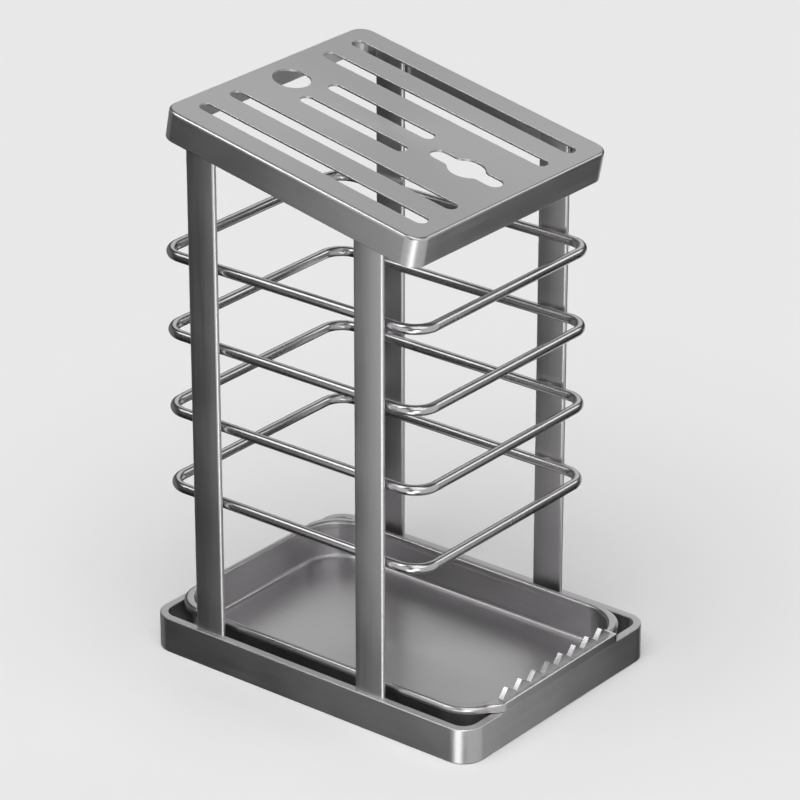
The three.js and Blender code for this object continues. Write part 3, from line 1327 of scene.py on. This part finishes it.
@dataclass(frozen=True)
class Studio:
    """The plain floor and backdrop, the soft lights and the camera.

    Angles are in degrees, apart from the ceiling's spread. The room's strength goes from the
    lower to the upper level while the direction's height goes through the horizon's range.
    """

    stage_radius: float = 12.0
    stage_steps: int = 96
    floor_tone: float = 0.8
    backdrop_tone: float = 0.74
    ceiling_light: float = 3.0
    ceiling_spread: float = math.radians(70.0)
    ceiling_azimuth: float = 20.0
    ceiling_elevation: float = 72.0
    room_levels: Pair = (0.02, 0.06)
    horizon: Pair = (-0.1, 0.35)
    camera_azimuth: float = 38.54
    camera_elevation: float = 24.63
    camera_distance: float = 1.5
    aim_height_share: float = 0.4713
    lens: float = 179.5
    sensor: float = 36.0
    # Each glow has its azimuth, elevation, core, fade and strength.
    glows: tuple[Glow, ...] = (
        Glow(211.0, 29.5, 14.0, 11.0, 0.94),
        Glow(140.0, 25.0, 10.0, 30.0, 0.10),
        Glow(-45.0, 0.0, 0.0, 25.0, 0.05),
        Glow(-95.0, -10.0, 20.0, 22.0, 0.24),
    )
    # Each softbox has its name, azimuth, elevation, distance, width, height and radiance.
    softboxes: tuple[Softbox, ...] = (
        Softbox("front_box", 26.0, -29.3, 0.301, 0.102, 0.201, 2.20),
        Softbox("front_fill", -4.6, 0.7, 0.306, 0.271, 0.403, 0.68),
        Softbox("right_box", 88.9, -2.3, 0.250, 0.384, 0.593, 0.61),
        Softbox("edge_box", 41.9, -4.1, 0.312, 0.088, 0.200, 3.19),
        Softbox("back_box", 180.0, -21.0, 0.325, 0.22, 0.22, 0.72),
        Softbox("top_box", 40.0, 80.0, 1.2, 0.46, 0.46, 2.3),
        Softbox("key_box", 55.0, 51.0, 1.2, 0.95, 0.60, 1.5),
        Softbox("left_strip", -61.0, 50.0, 1.2, 0.42, 0.36, 2.3),
        Softbox("fold_strip", -34.0, 52.0, 1.2, 0.26, 0.66, 3.4),
        Softbox("rear_strip", 151.0, 34.0, 1.2, 0.50, 0.36, 1.6),
    )

    def build_stage(self) -> None:
        """Lays a pale floor and puts an even backdrop behind it, which the steel doesn't mirror."""
        radius = self.stage_radius
        steps = self.stage_steps
        floor = bmesh.new()
        bmesh.ops.create_circle(floor, cap_ends=True, segments=steps, radius=radius)
        backdrop = bmesh.new()
        bmesh.ops.create_uvsphere(backdrop, u_segments=steps, v_segments=steps, radius=radius)
        for name, build, shader, tone in (
            ("floor", floor, "BsdfDiffuse", self.floor_tone),
            ("backdrop", backdrop, "Emission", self.backdrop_tone),
        ):
            mesh = bpy.data.meshes.new(name)
            build.to_mesh(mesh)
            build.free()
            paint = bpy.data.materials.new(name)
            sheet = NodeSheet(paint)
            surface = sheet.add(shader, {"Color": (tone, tone, tone, 1.0)})
            sheet.add("OutputMaterial", {"Surface": surface.outputs[0]})
            mesh.materials.append(paint)
            stage = add_object(name, mesh)
            stage.visible_glossy = False
            stage.visible_shadow = False
            stage.visible_diffuse = False

    def build_room(self) -> None:
        """Surrounds the object with an even, soft room, brighter above than below."""
        room = bpy.data.worlds.new("room")
        bpy.context.scene.world = room
        sheet = NodeSheet(room)
        facing = sheet.add("TexCoord").outputs["Generated"]
        parts = sheet.add("SeparateXYZ", {"Vector": facing})
        level = sheet.spread(parts.outputs["Z"], self.horizon, self.room_levels)
        for glow in self.glows:
            centre = direction(glow.azimuth, glow.elevation)
            dot = sheet.add("VectorMath", {0: facing, 1: centre}, operation="DOT_PRODUCT")
            outer = math.cos(math.radians(glow.core + glow.fade))
            inner = math.cos(math.radians(glow.core))
            patch = sheet.spread(dot.outputs["Value"], (outer, inner), (0.0, glow.strength))
            level = sheet.math("ADD", level, patch)
        light = sheet.add("Background", {"Strength": level})
        sheet.add("OutputWorld", {"Surface": light.outputs["Background"]})

    def build_ceiling(self) -> None:
        """Lights the floor evenly and softly from above, out of the steel's sight."""
        data = bpy.data.lights.new("ceiling", "SUN")
        data.energy = self.ceiling_light
        data.angle = self.ceiling_spread
        lamp = aim(Vector(), data, self.ceiling_azimuth, self.ceiling_elevation)
        lamp.visible_glossy = False

    def build_lights(self, target: Vector) -> None:
        """Hangs the lamps, which face the object.

        Args:
            target: The object's middle.
        """
        for box in self.softboxes:
            data = bpy.data.lights.new(box.name, "AREA")
            data.shape = "RECTANGLE"
            data.size = box.width
            data.size_y = box.height
            data.energy = box.radiance * math.pi * box.width * box.height
            lamp = aim(target, data, box.azimuth, box.elevation, box.distance)
            lamp.visible_camera = False
            lamp.visible_diffuse = False

    def build_camera(self, height: float) -> None:
        """Sets the camera at the photograph's viewing angle.

        Args:
            height: The object's height.
        """
        data = bpy.data.cameras.new("camera")
        data.lens = self.lens
        data.sensor_width = self.sensor
        target = Vector((0.0, 0.0, height * self.aim_height_share))
        bpy.context.scene.camera = aim(
            target, data, self.camera_azimuth, self.camera_elevation, self.camera_distance
        )

    def build(self, low: Vector, high: Vector) -> None:
        """Builds the whole studio round the object.

        Args:
            low: The lowest corner of the object's box.
            high: The highest corner of the object's box.
        """
        self.build_camera(high.z)
        self.build_stage()
        self.build_ceiling()
        self.build_room()
        self.build_lights((low + high) / 2)
        bpy.context.scene.view_settings.view_transform = "Standard"


def main() -> None:
    """Builds the studio and every part of the rack in order, and reports each piece."""
    logging.basicConfig(level=logging.INFO, format="%(message)s")
    Studio().build(*CAD_BOX)
    pieces = [
        BaseBand().build(SteelFinish("brushed_band", Grain.LEVEL, edge_wear_and_highlight=0.1, edge_gloss=0.0)),
        *Posts().build(SteelFinish("brushed_post", Grain.UPRIGHT)),
        *WireRings().build(
            SteelFinish(
                "drawn_wire", Grain.NONE, roughness=0.24, anisotropy=0.0, grain_depth=FAINT_LINES
            )
        ),
        WeldPads().build(SteelFinish("weld_metal", Grain.NONE, roughness=0.3)),
        SlopingTop().build(
            SteelFinish("brushed_top_face", Grain.LENGTHWAYS, tilt=TOP_SLOPE),
            # The skirt's folds are made much brighter in colour, a painted highlight, and smoother.
            SteelFinish(
                "brushed_skirt", Grain.LEVEL, edge_wear_and_highlight=0.5, edge_gloss=0.2, tilt=TOP_SLOPE
            ),
        ),
        DripTray().build(
            SteelFinish(
                "brushed_tray_wall_painted_shade",
                Grain.LEVEL,
                # A darker tone than the rest of the same steel: painted shade inside the tray.
                tone=(0.54, 0.53, 0.54),
                roughness=0.31,
                grain_depth=FAINT_LINES,
            ),
            SteelFinish(
                "brushed_tray_floor",
                Grain.LENGTHWAYS,
                tone=(0.53, 0.52, 0.53),
                roughness=0.33,
                grain_depth=FINE_LINES,
            ),
        ),
        ToothedLip().build(
            SteelFinish("brushed_lip", Grain.LEVEL, roughness=0.32, grain_depth=FAINT_LINES)
        ),
    ]
    for piece in pieces:
        LOG.info("%s: %d faces", piece.name, len(piece.data.polygons))


if __name__ == "__main__":
    main()
